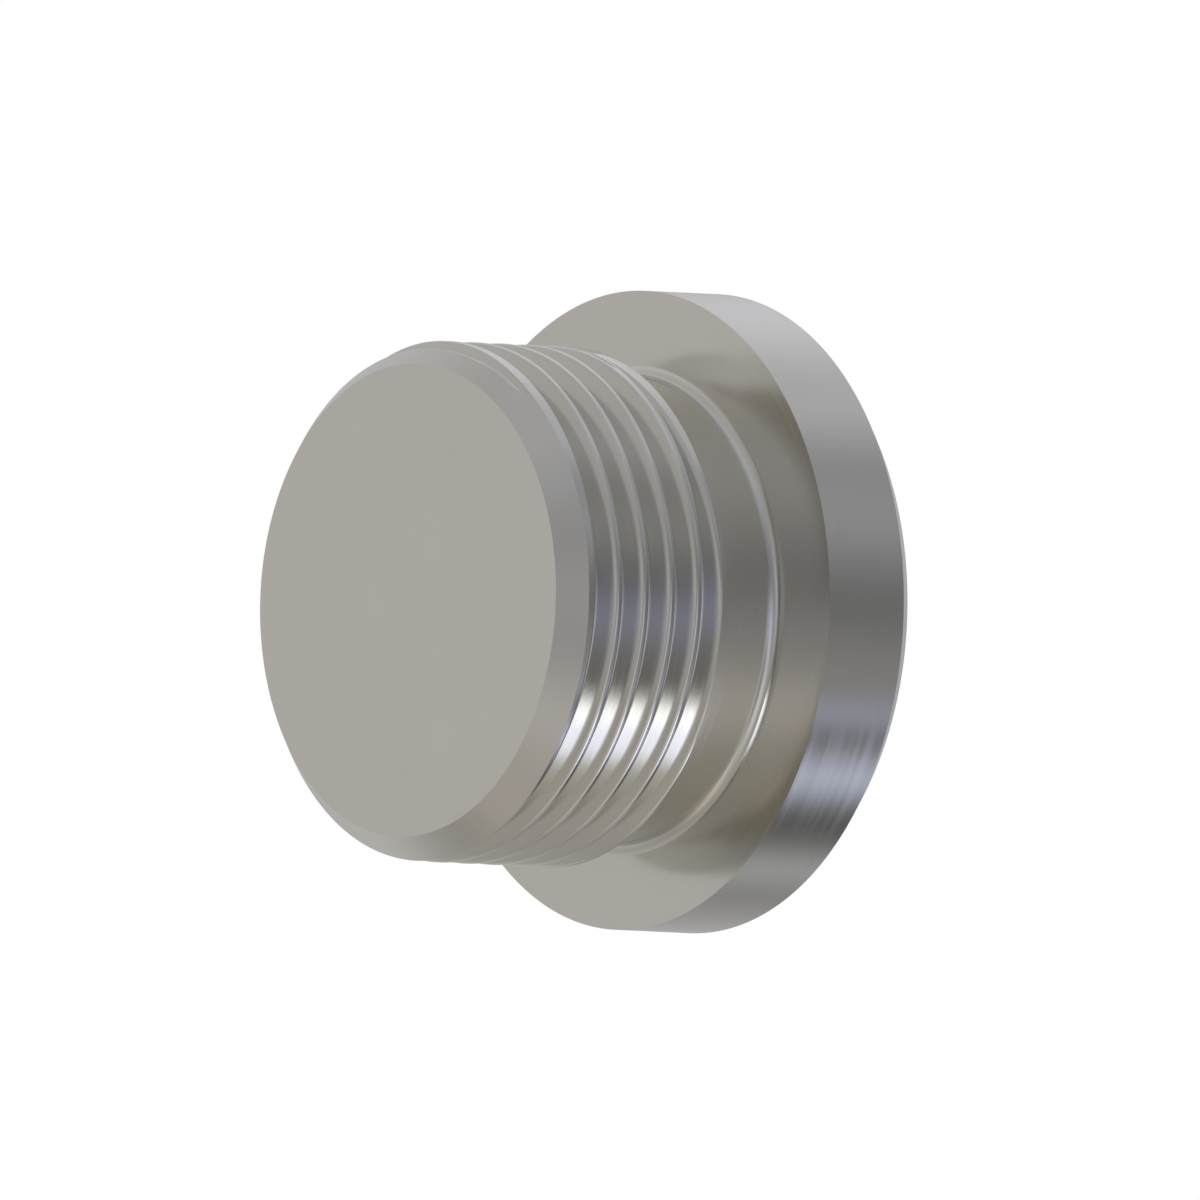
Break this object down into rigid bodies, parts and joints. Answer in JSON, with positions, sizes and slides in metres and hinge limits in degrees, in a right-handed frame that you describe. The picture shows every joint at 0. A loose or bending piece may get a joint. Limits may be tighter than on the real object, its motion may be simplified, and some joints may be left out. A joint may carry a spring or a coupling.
{
  "type": "fitting plug",
  "caption": "Short metal screw plug with a plain round collar, an undercut behind its seating face, a fine left-hand thread, a closed chamfered end and a hexagon socket in the back.",
  "frame": {"origin": "centre of the collar's back face, on the plug's axis", "axes": "+Z along the plug's axis, from the collar's back face to the end of the thread; +X and +Y square to it, with a corner of the hexagon socket on +X"},
  "size_m": [0.027, 0.027, 0.017],
  "materials": {
    "bright_steel": "bright turned steel, clear plated"
  },
  "bodies": {
    "root": {"plug": "bright_steel"}
  },
  "joints": []
}
